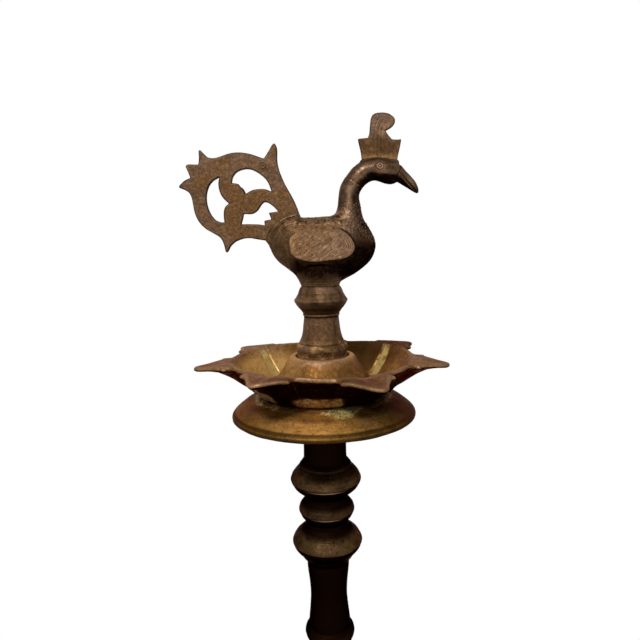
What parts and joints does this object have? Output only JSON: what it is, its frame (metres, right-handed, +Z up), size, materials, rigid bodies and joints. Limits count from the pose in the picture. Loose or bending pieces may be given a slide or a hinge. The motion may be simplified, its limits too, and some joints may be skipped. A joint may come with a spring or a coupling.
{
  "type": "standing oil lamp",
  "caption": "Standing metal oil lamp: bell foot, ringed shaft in screwed lengths, flared drip pan, star-shaped dish with wick spouts, and a peacock finial on a turned column.",
  "frame": {"origin": "on the lamp's axis at the floor, under the middle of the round foot", "axes": "+Z up along the shaft, +X the way the bird looks, -Y towards the side that the picture shows"},
  "size_m": [0.23, 0.23, 0.7401],
  "materials": {
    "dark_bronze": "aged cast brass, dark brown patina with mauve and ochre mottling",
    "column_bronze": "aged turned brass, dark brown patina, worn lighter on its foot",
    "golden_brass": "aged brass, golden brown, worn coppery edges, green in the hollows",
    "shaft_bronze": "turned brass, nearly black patina, worn on the rings' edges",
    "foot_bronze": "aged cast brass, brown patina",
    "stud_brass": "plain turned brass"
  },
  "bodies": {
    "base": {"base_bell": "foot_bronze"},
    "lower_shaft": {"lower_shaft": "shaft_bronze", "base_stud": "stud_brass"},
    "upper_shaft": {"upper_shaft": "shaft_bronze", "shaft_stud": "stud_brass", "centre_stud": "stud_brass"},
    "drip_pan": {"drip_pan": "golden_brass"},
    "oil_dish": {"oil_dish": "golden_brass"},
    "finial_column": {"finial_column": "column_bronze"},
    "peacock": {"peacock_body": "dark_bronze", "wing_left": "dark_bronze", "wing_right": "dark_bronze", "crest": "dark_bronze", "tail_plate": "dark_bronze", "peacock_stud": "stud_brass"}
  },
  "joints": [
    {"name": "lower_lift", "type": "slide", "parent": "base", "child": "lower_shaft", "axis": [0, 0, 1], "range_m": [0, 0.035]},
    {"name": "upper_lift", "type": "slide", "parent": "lower_shaft", "child": "upper_shaft", "axis": [0, 0, 1], "range_m": [0, 0.035]},
    {"name": "pan_lift", "type": "slide", "parent": "upper_shaft", "child": "drip_pan", "axis": [0, 0, 1], "range_m": [0, 0.08]},
    {"name": "dish_turn", "type": "hinge", "parent": "drip_pan", "child": "oil_dish", "pos_m": [0, 0, 0.5365], "axis": [0, 0, 1], "continuous": true},
    {"name": "finial_lift", "type": "slide", "parent": "oil_dish", "child": "finial_column", "axis": [0, 0, 1], "range_m": [0, 0.035]},
    {"name": "peacock_turn", "type": "hinge", "parent": "finial_column", "child": "peacock", "pos_m": [0, 0, 0.6175], "axis": [0, 0, 1], "continuous": true}
  ]
}
